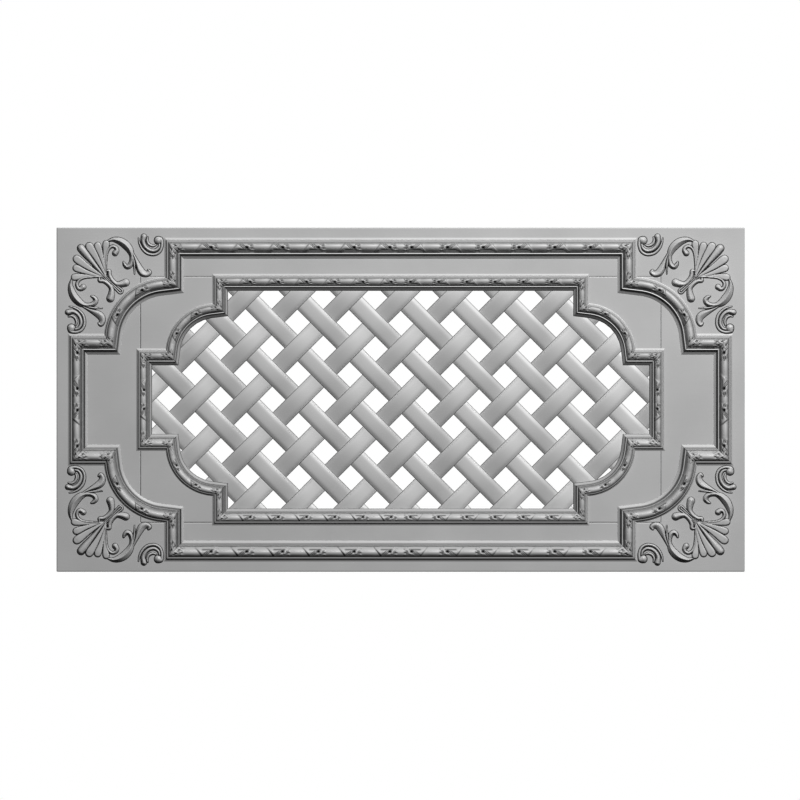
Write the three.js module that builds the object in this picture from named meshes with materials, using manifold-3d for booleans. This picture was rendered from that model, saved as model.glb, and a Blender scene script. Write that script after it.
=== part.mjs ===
// Carved fretwork grille: a painted wooden panel with a woven slat lattice in its shaped opening,
// two mitred carved mouldings round it, and a carved palmette with two small scrolls in each corner.
// Millimetres. X runs along the panel, Z is up and the carved front faces -Y. The back lies in the
// plane y = 0, and the origin is on the back of the top rail, halfway along it.

import * as THREE from 'three';
import { mergeVertices } from 'three/addons/utils/BufferGeometryUtils.js';
import Module from 'manifold-3d';

const wasm = await Module();
wasm.setup();

// Boards
const panelWidth = 1200;
const panelHeight = 600;
const boardThickness = 18;
const topRailMiddle = 26;       // from the panel's top edge down to the origin
const sideRailWidth = 146;      // the frame board's bars round the insert, which carries the lattice
const topRailWidth = 85.5;
const insertWidth = panelWidth - 2 * sideRailWidth;
const insertHeight = panelHeight - 2 * topRailWidth;
const jointClearance = 0.3;
const flangeWidth = 8;          // the insert's step behind the frame board
const flangeThickness = 8;
const overcut = 1;              // how far a cut runs past the face it opens

// Mouldings: each is a closed loop of straight runs with a notch and a bowed piece at each corner.
// Sizes run from the loop's outer edge. A bow is an arc whose ends run on as straight tangents, and
// its centre lies a little inside the notch's own corner. The runs up the sides are a little narrower
// than the runs along the top, by uprightShare.
const outerSideMargin = 19.5;     // bare board between the panel's edge and the outer moulding
const outerTopMargin = 17.5;
const innerSideLap = 7.5;       // how far the inner moulding laps over the insert's joint
const innerTopLap = 5;
const outerLoop = {
  width: panelWidth - 2 * outerSideMargin,
  height: panelHeight - 2 * outerTopMargin,
  notchWidth: 167.7,
  notchHeight: 167.2,
  bowInsetX: 4.8,
  bowInsetZ: 11.3,
  bowRadius: 110,
  bowTilt: THREE.MathUtils.degToRad(7),
  faceWidth: 36.8,
  bowFaceWidth: 32.2,
  uprightShare: 0.94,
  rollFrom: 8.2,
  rollTo: 25,
  bowRollFrom: 4.8,
  outerBeadHeight: 3.8,
  rollSeat: 3,
  rollHeight: 11.6,
  filletFrom: 2.4,
  filletHeight: 5.8,
  chamferFrom: 4.6,
  chamferHeight: 2.8,
  motifPitch: 62.4,
  firstEye: 18.8,
};
const innerLoop = {
  width: insertWidth + 2 * innerSideLap,
  height: insertHeight + 2 * innerTopLap,
  notchWidth: 132.5,
  notchHeight: 130,
  bowInsetX: 7,
  bowInsetZ: 9.5,
  bowRadius: 88.5,
  bowTilt: THREE.MathUtils.degToRad(7),
  faceWidth: 29.6,
  bowFaceWidth: 25.8,
  uprightShare: 0.94,
  rollFrom: 7.2,
  rollTo: 20.4,
  bowRollFrom: 4.6,
  outerBeadHeight: 3.4,
  rollSeat: 3,
  rollHeight: 10,
  filletFrom: 2.4,
  filletHeight: 5.4,
  chamferFrom: 4.6,
  chamferHeight: 2.4,
  motifPitch: 49.2,
  firstEye: 16.6,
};
const bowSteps = 6;
const beadCrestShare = 0.4;     // where the outer bead and the roll are highest, as shares of them
const rollCrestStart = 0.27;
const rollCrestEnd = 0.68;
const mitreRise = 0.9;          // the roll's height at a mitre and on a bow's leaves, as shares of its crest
const bowLeafRise = 0.82;

// Lattice
const slatWidth = 32.5;
const risingPitch = 64.4;       // between the slats that rise to the right, and between those that fall
const fallingPitch = 63.1;
const risingShift = -2.8;       // from the lattice's middle to the middle rising slat, up and to the left
const slatThickness = 3;
const slatCrown = 0.9;
const weaveRise = 3.6;          // how far a slat swings to either side of the lattice's middle plane
const slatCornerGap = 42;       // how near to the lattice's corner the middle of its last slat may lie
const latticeRebate = 10;       // how far the lattice reaches past the widest part of the opening
const latticeClearance = 0.3;

// Corner carving: its points are hundredths of one reach, measured from the panel's own corner. The
// half below the diagonal is the half above it turned over, squeezed and shifted. The scrolls keep a
// clearance from the notch's two sides and the stem keeps one from the bow.
const turnSqueeze = 0.92;
const turnShareX = 0.04;        // the shift, as shares of the reach
const turnShareZ = -0.052;
const scrollClearance = 0.7;
const stemClearance = 1;
const scrollPlay = 11;          // how far the short edge's scroll may stand nearer the corner than it is turned
const scrollEndShare = 1.069;   // where the scrolls and the stem end, as shares of the reach
const turnedScrollEndShare = 1.112;
const stemEndShare = 0.937;
const turnedScrollOffset = -1.6; // how far the short edge's scroll stands from its turned place, across
const palmetteOffset = -1.7;    // how far a palmette stands from its drawn place, towards the side edge
const notchReachX = outerSideMargin + outerLoop.notchWidth;
const notchReachZ = outerTopMargin + outerLoop.notchHeight;
const bowReach = Math.hypot(notchReachX + outerLoop.bowInsetX, notchReachZ + outerLoop.bowInsetZ) - outerLoop.bowRadius;
const cornerReach = Math.min(
  (notchReachX - scrollClearance) / scrollEndShare,
  (notchReachZ - scrollClearance + scrollPlay) / turnedScrollEndShare,
  (bowReach - stemClearance) / stemEndShare,
);
const scrollShiftX = notchReachX - scrollClearance - scrollEndShare * cornerReach;
const scrollShiftZ = notchReachZ - scrollClearance - turnedScrollEndShare * cornerReach;
const palmetteHeight = 9.5;
const scrollHeight = 6.5;
const strokeThinHeight = 0.55;  // the height of a stroke that thins out to nothing, as a share of its full height

const paint = 0xa9a9a9;
const boardMaterial = () => new THREE.MeshStandardMaterial({ color: paint, roughness: 0.62, metalness: 0 });
const carvedMaterial = () => new THREE.MeshStandardMaterial({ color: paint, roughness: 0.55, metalness: 0 });
const slatMaterial = () => new THREE.MeshStandardMaterial({ color: 0xb4b4b4, roughness: 0.6, metalness: 0 });

const frontFace = -boardThickness;
const panelMiddle = topRailMiddle - panelHeight / 2;

// Solids and geometries

function toSolid(geometry) {
  const plain = geometry.clone();
  plain.deleteAttribute('normal');
  plain.deleteAttribute('uv');
  const merged = mergeVertices(plain, 1e-4);
  return new wasm.Manifold(new wasm.Mesh({
    numProp: 3,
    vertProperties: new Float32Array(merged.attributes.position.array),
    triVerts: new Uint32Array(merged.index.array),
  }));
}

function toGeometry(solid) {
  const mesh = solid.getMesh();
  return trianglesToGeometry(Array.from(mesh.vertProperties), Array.from(mesh.triVerts));
}

function trianglesToGeometry(positions, indices) {
  const geometry = new THREE.BufferGeometry();
  geometry.setAttribute('position', new THREE.BufferAttribute(new Float32Array(positions), 3));
  geometry.setIndex(indices);
  geometry.computeVertexNormals();
  return geometry;
}

// A flat outline in the panel's plane, raised from y = back to y = back - thickness.
function plate(points, back, thickness) {
  const shape = new THREE.Shape(points.map(([x, z]) => new THREE.Vector2(x, z)));
  const geometry = new THREE.ExtrudeGeometry(shape, { depth: thickness, bevelEnabled: false });
  geometry.rotateX(Math.PI / 2);
  geometry.translate(0, back, 0);
  return toSolid(geometry);
}

function rectangle(width, height) {
  const x = width / 2;
  const z = height / 2;
  return [[-x, -z], [x, -z], [x, z], [-x, z]];
}

// Moulding loops

// The point of a bow at a share of the way from its upper end to its lower end, in the quarter
// where x and z are positive. The line lies at the given offset from the bow's outer edge.
function bowKeys(loop, offset, bowOffset) {
  const centreX = loop.width / 2 - loop.notchWidth - loop.bowInsetX;
  const centreZ = loop.height / 2 - loop.notchHeight - loop.bowInsetZ;
  const radius = loop.bowRadius - bowOffset;
  const shortX = loop.width / 2 - loop.notchWidth - offset * loop.uprightShare;
  const shortZ = loop.height / 2 - loop.notchHeight - offset;
  const tilt = loop.bowTilt;
  const upper = [centreX + radius * Math.sin(tilt), centreZ + radius * Math.cos(tilt)];
  const lower = [centreX + radius * Math.cos(tilt), centreZ + radius * Math.sin(tilt)];
  const start = [shortX, upper[1] + (upper[0] - shortX) * Math.tan(tilt)];
  const end = [lower[0] + (lower[1] - shortZ) * Math.tan(tilt), shortZ];
  const points = [start];
  for (let step = 0; step <= bowSteps; step += 1) {
    const angle = Math.PI / 2 - tilt - (step / bowSteps) * (Math.PI / 2 - 2 * tilt);
    points.push([centreX + radius * Math.cos(angle), centreZ + radius * Math.sin(angle)]);
  }
  points.push(end);
  return points;
}

// The corner points of one line of the moulding in that quarter, from the top run to the side run.
function quarterKeys(loop, offset, bowOffset) {
  const uprightOffset = offset * loop.uprightShare;
  const topCorner = [loop.width / 2 - loop.notchWidth - uprightOffset, loop.height / 2 - offset];
  const sideCorner = [loop.width / 2 - uprightOffset, loop.height / 2 - loop.notchHeight - offset];
  return [topCorner, ...bowKeys(loop, offset, bowOffset), sideCorner];
}

// The same line all the way round, clockwise as seen from the front.
function loopKeys(loop, offset, bowOffset) {
  const quarter = quarterKeys(loop, offset, bowOffset);
  const back = [...quarter].reverse();
  return [
    ...quarter,
    ...back.map(([x, z]) => [x, -z]),
    ...quarter.map(([x, z]) => [-x, -z]),
    ...back.map(([x, z]) => [-x, z]),
  ];
}

// The husks on the roll: a smooth pod, a gathered leaf that rises out of it, and a drilled eye.
// Each station is a place along the motif and the roll's height there as a share of its crest.
const husk = [
  { at: -0.36, rise: 0.86 },
  { at: -0.12, rise: 1 },
  { at: 0, rise: 0.7 },
  { at: 0.14, rise: 0.95 },
];

// Where the husk stations fall on a straight run, measured from its middle and mirrored about it.
function runStations(loop, reach) {
  const stations = [];
  for (let eye = loop.firstEye; eye < reach + loop.motifPitch; eye += loop.motifPitch) {
    for (const { at, rise } of husk) {
      const place = eye - at * loop.motifPitch;
      if (place > 0 && place < reach) {
        stations.push({ place, rise });
        stations.push({ place: -place, rise });
      }
    }
  }
  return stations;
}

// The extra stations between two neighbouring key points of the roll's lines.
function fineStations(loop, from, to, isBow) {
  if (isBow) return [];
  const alongX = Math.abs(from[0] - to[0]) > Math.abs(from[1] - to[1]);
  const axis = alongX ? 0 : 1;
  const low = Math.min(from[axis], to[axis]);
  const high = Math.max(from[axis], to[axis]);
  const middle = (low + high) / 2;
  const reach = (high - low) / 2 - loop.faceWidth;
  if (reach < loop.motifPitch / 2) return [{ value: middle, rise: 1, axis }];
  const stations = runStations(loop, reach).map(({ place, rise }) => ({ value: middle + place, rise, axis }));
  stations.sort((a, b) => (to[axis] > from[axis] ? a.value - b.value : b.value - a.value));
  return stations;
}

// The moulding's section, from its outer edge to its inner edge. Fine lines take the husks.
function sectionLines(loop) {
  const crestWidth = loop.rollTo - loop.rollFrom;
  const bowShift = loop.rollFrom - loop.bowRollFrom;
  const lines = [
    { offset: 0, height: 0, bow: 0 },
    { offset: loop.rollFrom * beadCrestShare, height: loop.outerBeadHeight, bow: loop.bowRollFrom * beadCrestShare },
    { offset: loop.rollFrom, height: loop.rollSeat, fine: true },
    { offset: loop.rollFrom + crestWidth * rollCrestStart, height: loop.rollHeight, fine: true, carved: true },
    { offset: loop.rollFrom + crestWidth * rollCrestEnd, height: loop.rollHeight, fine: true, carved: true },
    { offset: loop.rollTo, height: loop.rollSeat, fine: true },
    { offset: loop.rollTo + loop.filletFrom, height: loop.filletHeight },
    { offset: loop.rollTo + loop.chamferFrom, height: loop.chamferHeight },
    { offset: loop.faceWidth, height: 0, bow: loop.bowFaceWidth },
  ];
  for (const line of lines) {
    if (line.bow === undefined) line.bow = line.offset - bowShift;
  }
  return lines;
}

// One line of the loop as a list of stretches; each stretch starts at a key point and holds the
// stations up to the next one, with their share of the way along it.
function lineStretches(loop, line) {
  const keys = loopKeys(loop, line.offset, line.bow);
  const quarterCount = keys.length / 4;
  const stretches = [];
  for (let index = 0; index < keys.length; index += 1) {
    const from = keys[index];
    const to = keys[(index + 1) % keys.length];
    const place = index % quarterCount;
    const isBow = place > 0 && place < quarterCount - 2;
    const height = line.height;
    const corner = place === 0 || place === quarterCount - 1 || place === 1 || place === quarterCount - 2;
    const bowRise = huskRiseOnBow(place, quarterCount);
    const rise = line.carved ? (corner ? mitreRise : bowRise) : 1;
    const stations = [{ point: from, height: height * rise, share: 0 }];
    if (line.fine) {
      for (const station of fineStations(loop, from, to, isBow)) {
        const share = (station.value - from[station.axis]) / (to[station.axis] - from[station.axis]);
        const point = [from[0] + (to[0] - from[0]) * share, from[1] + (to[1] - from[1]) * share];
        const lift = line.carved ? station.rise : 1;
        stations.push({ point, height: height * lift, share });
      }
    }
    stretches.push(stations);
  }
  return stretches;
}

// On a bow two leaves stand either side of a pod in its middle.
function huskRiseOnBow(place, quarterCount) {
  const middle = (quarterCount - 1) / 2;
  const away = Math.abs(place - middle);
  return away > 1.4 && away < 2.6 ? bowLeafRise : 1;
}

function mouldingGeometry(loop) {
  const lines = sectionLines(loop).map((line) => lineStretches(loop, line));
  const positions = [];
  const indices = [];
  for (const stretches of lines) {
    for (const stations of stretches) {
      for (const station of stations) {
        station.index = positions.length / 3;
        positions.push(station.point[0], frontFace - station.height, station.point[1]);
      }
    }
  }
  const count = lines[0].length;
  for (let line = 0; line < lines.length; line += 1) {
    const outer = lines[line];
    const inner = lines[(line + 1) % lines.length];
    for (let stretch = 0; stretch < count; stretch += 1) {
      const next = (stretch + 1) % count;
      const a = [...outer[stretch], { ...outer[next][0], share: 1 }];
      const b = [...inner[stretch], { ...inner[next][0], share: 1 }];
      zip(a, b, indices);
    }
  }
  return trianglesToGeometry(positions, indices);
}

// Fills the strip between two rows of stations that start and end together.
function zip(a, b, indices) {
  let i = 0;
  let j = 0;
  while (i < a.length - 1 || j < b.length - 1) {
    const nextA = i < a.length - 1 ? a[i].share + a[i + 1].share : 3;
    const nextB = j < b.length - 1 ? b[j].share + b[j + 1].share : 3;
    if (nextA <= nextB) {
      indices.push(a[i].index, b[j].index, a[i + 1].index);
      i += 1;
    } else {
      indices.push(a[i].index, b[j].index, b[j + 1].index);
      j += 1;
    }
  }
}

// Lattice

const latticeDepth = 2 * weaveRise + slatThickness + slatCrown + 2 * latticeClearance;
const latticeMiddle = -(slatThickness / 2 + weaveRise + latticeClearance);
const openingWidth = innerLoop.width - 2 * innerLoop.faceWidth * innerLoop.uprightShare;
const openingHeight = innerLoop.height - 2 * innerLoop.faceWidth;
const latticeWidth = openingWidth + 2 * latticeRebate;
const latticeHeight = openingHeight + 2 * latticeRebate;

// One slat: a crowned strip that swings over and under at each crossing. It is made along X and
// turned by its group, and its ends are trimmed to the lattice's rectangle.
function slatSolid(index, leansRight) {
  const angle = leansRight ? Math.PI / 4 : -Math.PI / 4;
  const along = [Math.cos(angle), Math.sin(angle)];
  const across = [-Math.sin(angle), Math.cos(angle)];
  const place = leansRight ? index * risingPitch + risingShift : index * fallingPitch;
  const crossingPitch = leansRight ? fallingPitch : risingPitch;
  const firstCrossing = leansRight ? 0 : -risingShift;
  const crossings = Math.ceil((latticeWidth + latticeHeight) / 2 / crossingPitch) + 2;
  const half = slatWidth / 2;
  const positions = [];
  const indices = [];
  let rings = 0;
  for (let crossing = -crossings; crossing <= crossings; crossing += 1) {
    const isOver = (index + crossing) % 2 === 0 ? leansRight : !leansRight;
    const y = latticeMiddle + (isOver ? -weaveRise : weaveRise);
    const distance = crossing * crossingPitch + firstCrossing;
    const section = [
      [half, y + slatThickness / 2],
      [half, y - slatThickness / 2],
      [0, y - slatThickness / 2 - slatCrown],
      [-half, y - slatThickness / 2],
      [-half, y + slatThickness / 2],
    ];
    for (const [side, depth] of section) {
      const sideways = place + side;
      positions.push(
        along[0] * distance + across[0] * sideways,
        depth,
        along[1] * distance + across[1] * sideways,
      );
    }
    rings += 1;
  }
  closeTube(indices, rings, 5);
  const strip = toSolid(trianglesToGeometry(positions, indices));
  const sheet = plate(rectangle(latticeWidth, latticeHeight), overcut, latticeDepth + 2 * overcut);
  return strip.intersect(sheet);
}

// Joins rings of equal length into a tube with flat ends.
function closeTube(indices, rings, sides) {
  for (let ring = 0; ring < rings - 1; ring += 1) {
    for (let side = 0; side < sides; side += 1) {
      const next = (side + 1) % sides;
      const a = ring * sides + side;
      const b = ring * sides + next;
      const c = a + sides;
      const d = b + sides;
      indices.push(a, b, c, b, d, c);
    }
  }
  const last = (rings - 1) * sides;
  for (let side = 1; side < sides - 1; side += 1) {
    indices.push(0, side + 1, side);
    indices.push(last, last + side, last + side + 1);
  }
}

const grille = new THREE.Group();
grille.position.z = panelMiddle;

function addPiece(name, geometry, material) {
  const mesh = new THREE.Mesh(geometry, material);
  mesh.name = name;
  grille.add(mesh);
  return mesh;
}

// Boards

const opening = loopKeys(innerLoop, innerLoop.faceWidth, innerLoop.bowFaceWidth);

function frameBoard() {
  const board = plate(rectangle(panelWidth, panelHeight), 0, boardThickness);
  const through = plate(rectangle(insertWidth, insertHeight), overcut, boardThickness + 2 * overcut);
  const rebateWidth = insertWidth + 2 * flangeWidth;
  const rebateHeight = insertHeight + 2 * flangeWidth;
  const rebate = plate(rectangle(rebateWidth, rebateHeight), overcut, flangeThickness + overcut);
  return board.subtract(through).subtract(rebate);
}

function insertBoard() {
  const clear = 2 * jointClearance;
  const face = plate(rectangle(insertWidth - clear, insertHeight - clear), 0, boardThickness);
  const flangeAcross = insertWidth + 2 * flangeWidth - clear;
  const flangeUp = insertHeight + 2 * flangeWidth - clear;
  const flange = plate(rectangle(flangeAcross, flangeUp), 0, flangeThickness - jointClearance);
  const hole = plate(opening, overcut, boardThickness + 2 * overcut);
  const seatWidth = latticeWidth + 2 * latticeClearance;
  const seatHeight = latticeHeight + 2 * latticeClearance;
  const seat = plate(rectangle(seatWidth, seatHeight), overcut, latticeDepth + overcut);
  return face.add(flange).subtract(hole).subtract(seat);
}

addPiece('frame_board', toGeometry(frameBoard()), boardMaterial());
addPiece('insert_board', toGeometry(insertBoard()), boardMaterial());
addPiece('outer_moulding', mouldingGeometry(outerLoop), carvedMaterial());
addPiece('inner_moulding', mouldingGeometry(innerLoop), carvedMaterial());

// Lattice slats, numbered across the lattice. The last one each way is the last whose middle line
// keeps slatCornerGap clear of the lattice's corner.

function addSlats(leansRight, name) {
  const cornerDistance = ((latticeWidth + latticeHeight) / 2) * Math.SQRT1_2;
  const reach = leansRight ? cornerDistance - Math.abs(risingShift) : cornerDistance;
  const farthest = Math.floor((reach - slatCornerGap) / (leansRight ? risingPitch : fallingPitch));
  for (let index = -farthest; index <= farthest; index += 1) {
    const solid = slatSolid(index, leansRight);
    addPiece(`${name}_${index + farthest + 1}`, toGeometry(solid), slatMaterial());
  }
}

addSlats(true, 'rising_slat');
addSlats(false, 'falling_slat');

// Corner carving. A stroke is a carved ridge along a smooth line: each point holds its place
// across and down from the panel's corner and the ridge's half width there.

const middlePetal = {
  height: 1,
  steps: 3,
  points: [[50, 50.4, 1.4], [39.6, 38, 2.5], [28.6, 24.4, 4.4], [23.2, 18, 2.2]],
};
const petals = [
  { height: 0.9, steps: 3, points: [[50, 48.6, 1.2], [43, 34.4, 2.4], [34.8, 20.4, 4.3], [32, 15.6, 2.2]] },
  { height: 0.82, steps: 3, points: [[50.2, 46.6, 1], [46.6, 32, 2], [42.8, 20, 3.7], [41.4, 15, 2]] },
  { height: 0.76, steps: 3, points: [[50.2, 45, 0.9], [49.2, 30, 1.6], [50, 18, 3.4], [50.7, 13, 2.2]] },
];
const volute = {
  height: 0.6,
  steps: 4,
  points: [[49.8, 44.4, 1], [50.4, 31, 1], [52, 22.4, 1.4], [56.4, 18.8, 1.9], [60.2, 22.6, 2.2], [57.6, 26.8, 2]],
};
const crescent = {
  height: 0.88,
  steps: 6,
  points: [
    [51, 13.6, 1], [59.4, 12, 2.6], [66.5, 14.6, 4], [71.6, 19, 4.1], [75.4, 25.6, 2.8],
    [76.2, 32, 2.3], [74.6, 37.2, 2.5], [71.4, 39.2, 2.4], [68.9, 37, 1.8], [67.9, 34, 0.9],
  ],
};
const prong = { height: 0.45, steps: 1, points: [[76.6, 26.4, 0.9], [78.6, 37, 1.1], [78.9, 46.8, 0.5]] };
const curlLeaf = {
  height: 0.74,
  steps: 4,
  points: [[76.8, 24.6, 1], [81.6, 34.8, 2], [84.6, 42.4, 3.7], [90, 46.4, 3.2], [93.8, 44.6, 2.4], [92.8, 41.8, 1.2]],
};
const lobe = {
  height: 0.84,
  steps: 4,
  points: [
    [50.8, 42.8, 1], [53.8, 44.6, 1.9], [54.4, 49.4, 2.2], [58, 54.4, 2.4], [63.6, 56.6, 2.8], [69.6, 55.2, 4.1],
    [73.4, 54.2, 2.2],
  ],
};
const stem = { height: 0.62, steps: 1, points: [[48.4, 49, 2], [66.8, 65.2, 3.2]] };

const scrollReeds = [
  {
    height: 0.8,
    steps: 6,
    points: [
      [81.8, 9.8, 0.6], [82.8, 15.5, 1], [85.5, 21, 1.3], [90.5, 25.4, 1.5], [97.5, 26.7, 1.5],
      [102.8, 24, 1.5], [105, 18.4, 1.6], [104.6, 13.6, 2.2], [102.2, 11, 4.2], [98.4, 13, 2.6],
    ],
  },
  {
    height: 1,
    steps: 5,
    points: [
      [87.6, 6.4, 1.6], [86.8, 10.4, 2.9], [86.8, 15.4, 2.3], [90.4, 20.6, 2], [96.4, 23.2, 2.1], [101.4, 21, 2],
      [103.4, 15, 1.8],
    ],
  },
  {
    height: 0.72,
    steps: 3,
    points: [[90.2, 8.8, 0.8], [90.2, 13.6, 1.6], [93, 17.4, 2.2], [97, 18.6, 2.4], [100, 15.6, 1.4]],
  },
];

// The ridge of one stroke, with its base in the plane of the board's front.
function strokeSolid(stroke, crest) {
  const unit = cornerReach / 100;
  const line = new THREE.CatmullRomCurve3(
    stroke.points.map(([across, down]) => new THREE.Vector3(across * unit, down * unit, 0)),
  );
  const widths = stroke.points.map((point) => point[2] * unit);
  const positions = [];
  const indices = [];
  const rings = stroke.steps + 1;
  for (let ring = 0; ring < rings; ring += 1) {
    const share = ring / stroke.steps;
    const place = line.getPoint(share);
    const heading = line.getTangent(share);
    const half = valueAlong(widths, share);
    const widest = Math.max(...widths);
    const height = crest * stroke.height * (strokeThinHeight + (1 - strokeThinHeight) * (half / widest));
    const side = new THREE.Vector2(-heading.y, heading.x);
    const left = [place.x + side.x * half, place.y + side.y * half];
    const right = [place.x - side.x * half, place.y - side.y * half];
    positions.push(right[0], frontFace, -right[1]);
    positions.push(place.x, frontFace - height, -place.y);
    positions.push(left[0], frontFace, -left[1]);
  }
  closeTube(indices, rings, 3);
  return toSolid(trianglesToGeometry(positions, indices));
}

function valueAlong(values, share) {
  const position = share * (values.length - 1);
  const index = Math.min(Math.floor(position), values.length - 2);
  return values[index] + (values[index + 1] - values[index]) * (position - index);
}

// The same stroke in the half of the carving below the corner's diagonal.
function turned(stroke) {
  const points = stroke.points.map(([across, down, half]) => (
    [100 * turnShareX + down * turnSqueeze, 100 * turnShareZ + across / turnSqueeze, half]
  ));
  return { ...stroke, points: points.reverse() };
}

function joined(strokes, crest) {
  return strokes.map((stroke) => strokeSolid(stroke, crest)).reduce((whole, piece) => whole.add(piece));
}

const halfPalmette = [...petals, volute, crescent, prong, curlLeaf, lobe];
const palmette = toGeometry(joined([middlePetal, stem, ...halfPalmette, ...halfPalmette.map(turned)], palmetteHeight));
const scroll = toGeometry(joined(scrollReeds, scrollHeight));
const turnedScroll = toGeometry(joined(scrollReeds.map(turned), scrollHeight));

const corners = [
  { name: 'top_left', across: 1, up: 1 },
  { name: 'top_right', across: -1, up: 1 },
  { name: 'bottom_left', across: 1, up: -1 },
  { name: 'bottom_right', across: -1, up: -1 },
];
for (const { name, across, up } of corners) {
  const corner = new THREE.Group();
  corner.position.set(-across * panelWidth / 2, 0, up * panelHeight / 2);
  corner.scale.set(across, 1, up);
  grille.add(corner);
  const carvings = [
    [`palmette_${name}`, palmette, palmetteOffset, 0],
    [`scroll_${name}_long_edge`, scroll, scrollShiftX, 0],
    [`scroll_${name}_short_edge`, turnedScroll, turnedScrollOffset, -scrollShiftZ],
  ];
  for (const [label, geometry, x, z] of carvings) {
    const mesh = new THREE.Mesh(geometry, carvedMaterial());
    mesh.name = label;
    mesh.position.set(x, 0, z);
    corner.add(mesh);
  }
}

export default grille;
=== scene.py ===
# %% [markdown]
# # A carved fretwork grille
#
# The real thing is a painted wooden panel: two flat boards, two carved mouldings mitred round them,
# a lattice of thin woven slats in the opening, and carved palmettes with small scrolls in the
# corners. The solids that carry it all are already packed as a frame. This lesson dresses them: it
# loads the frame first, so that every piece is made where its solid stands.

# %% Load the frame
import math

import bmesh
import bpy
import numpy as np
from mathutils import Matrix, Vector


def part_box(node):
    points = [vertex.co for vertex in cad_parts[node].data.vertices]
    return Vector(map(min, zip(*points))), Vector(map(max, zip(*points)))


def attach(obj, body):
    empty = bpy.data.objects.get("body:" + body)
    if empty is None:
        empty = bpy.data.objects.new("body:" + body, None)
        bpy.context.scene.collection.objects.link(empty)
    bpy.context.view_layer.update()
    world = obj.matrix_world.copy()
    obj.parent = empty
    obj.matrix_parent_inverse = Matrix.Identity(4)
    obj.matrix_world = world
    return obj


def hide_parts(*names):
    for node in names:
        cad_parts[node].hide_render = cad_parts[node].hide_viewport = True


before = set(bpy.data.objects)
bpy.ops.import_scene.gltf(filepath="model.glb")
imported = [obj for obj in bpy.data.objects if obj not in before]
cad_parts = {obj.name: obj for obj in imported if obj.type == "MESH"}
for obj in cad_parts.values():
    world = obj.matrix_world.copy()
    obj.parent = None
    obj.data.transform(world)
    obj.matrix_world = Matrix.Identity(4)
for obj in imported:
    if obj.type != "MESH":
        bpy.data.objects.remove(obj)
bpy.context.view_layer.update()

print("solids in the frame:", len(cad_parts))

# %% [markdown]
# ## Sizes
#
# The scene is in metres, but a carver thinks in millimetres, so sizes are written in millimetres and
# turned into metres when a mesh is made. Whatever the frame knows is read from it: the panel's
# middle, the front of the board and the outer size of each moulding.

# %% Places taken from the frame
MM = 0.001


def box_of(node):
    """The lowest and highest corner of a node, in millimetres."""
    low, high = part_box(node)
    return np.array(low) / MM, np.array(high) / MM


board_low, board_high = box_of("frame_board")
MIDDLE_X = (board_low[0] + board_high[0]) / 2
MIDDLE_Z = (board_low[2] + board_high[2]) / 2
FRONT = board_low[1]
PANEL_WIDTH = board_high[0] - board_low[0]
PANEL_HEIGHT = board_high[2] - board_low[2]
print(f"panel {PANEL_WIDTH:.0f} x {PANEL_HEIGHT:.0f} mm, front face at y = {FRONT:.1f} mm")

# %% [markdown]
# ## From arrays to pieces
#
# Carving is easiest to describe as numbers on a grid, so most pieces here are worked out with numpy
# and handed to Blender as a finished mesh. Each piece also carries a number per point called
# painted_shade, from 0 on the open surface to 1 where it is darkest, mostly in the deepest cuts,
# which the paint uses later as painted shade.


# %% Helpers that make a piece
def make_mesh(name, points, faces, painted_shade=None, sharp=50):
    """A mesh from millimetre points about the panel's middle, smooth but for its sharp edges."""
    places = np.asarray(points, dtype=float) + np.array([MIDDLE_X, 0, MIDDLE_Z])
    mesh = bpy.data.meshes.new(name)
    mesh.from_pydata((places * MM).tolist(), [], np.asarray(faces).tolist())
    mesh.shade_smooth()
    mesh.set_sharp_from_angle(angle=math.radians(sharp))
    # each point's painted shade, which the paint reads
    if painted_shade is not None:
        layer = mesh.attributes.new("painted_shade", "FLOAT", "POINT")
        layer.data.foreach_set("value", np.asarray(painted_shade, dtype=np.float32))
    return mesh


def place(name, mesh, material, nodes):
    """Put a mesh in the scene as a piece that stands for the named solids."""
    mesh.materials.clear()
    mesh.materials.append(material)
    piece = bpy.data.objects.new(name, mesh)
    bpy.context.scene.collection.objects.link(piece)
    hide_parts(*nodes)
    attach(piece, "root")
    mesh.calc_loop_triangles()
    print(f"{name}: {len(mesh.loop_triangles)} triangles")
    return piece


def soft_step(low, high, value):
    """0 below low, 1 above high, with a soft rise between."""
    share = np.clip((value - low) / (high - low), 0, 1)
    return share * share * (3 - 2 * share)


def hump(centre, width, value):
    """A soft hump of height 1 about a centre."""
    return np.exp(-(((value - centre) / width) ** 2))


# %% [markdown]
# ## Paint
#
# The panel is painted one soft grey all over. Real paint isn't one flat colour: it is a little
# uneven. The hollows and the faces turned from the light are also painted darker, as painted
# shade, by each point's painted_shade number. Two sizes of noise give the film its faint texture:
# long fibres of the wood that show through, and the fine pebble of a roller.


# %% A painted wood material
GLOSS = 0.35                    # how strongly the paint reflects beside its plain colour
CLOUD_SCALE = 9.0               # how often the paint's tone drifts, in waves to a metre
CLOUD_STOPS = ((0.3, 0.96), (0.7, 1.03))        # where the drift is darkest and lightest, and how much
FIBRE_SCALE = (40.0, 260.0, 260.0)
PEBBLE_SCALE = 900.0
FIBRE_SHARE = 0.6               # the fibres' share of the relief beside the pebble's
FILM_DEPTH = 0.0002             # metres


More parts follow.
